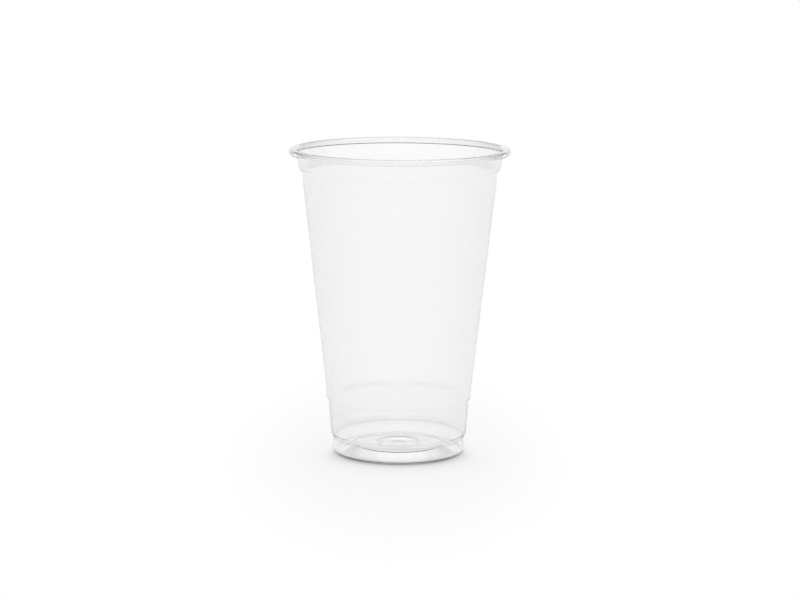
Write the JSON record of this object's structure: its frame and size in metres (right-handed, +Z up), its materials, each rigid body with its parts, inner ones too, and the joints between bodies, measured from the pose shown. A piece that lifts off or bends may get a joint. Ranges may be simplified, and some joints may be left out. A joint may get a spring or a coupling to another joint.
{
  "type": "disposable plastic cup",
  "caption": "Clear single-use cold-drink cup with a thin tapered wall, a rolled lip that takes a press-on lid, stacking steps low on the wall and a pushed-up base.",
  "frame": {"origin": "centre of the round foot, on the plane the cup stands on", "axes": "+Z up along the cup's axis, from the foot to the mouth; X and Y are interchangeable because the cup is round"},
  "size_m": [0.098, 0.098, 0.136],
  "materials": {
    "clear_plastic": "clear, glossy thermoformed sheet"
  },
  "bodies": {
    "root": {"cup": "clear_plastic"}
  },
  "joints": []
}
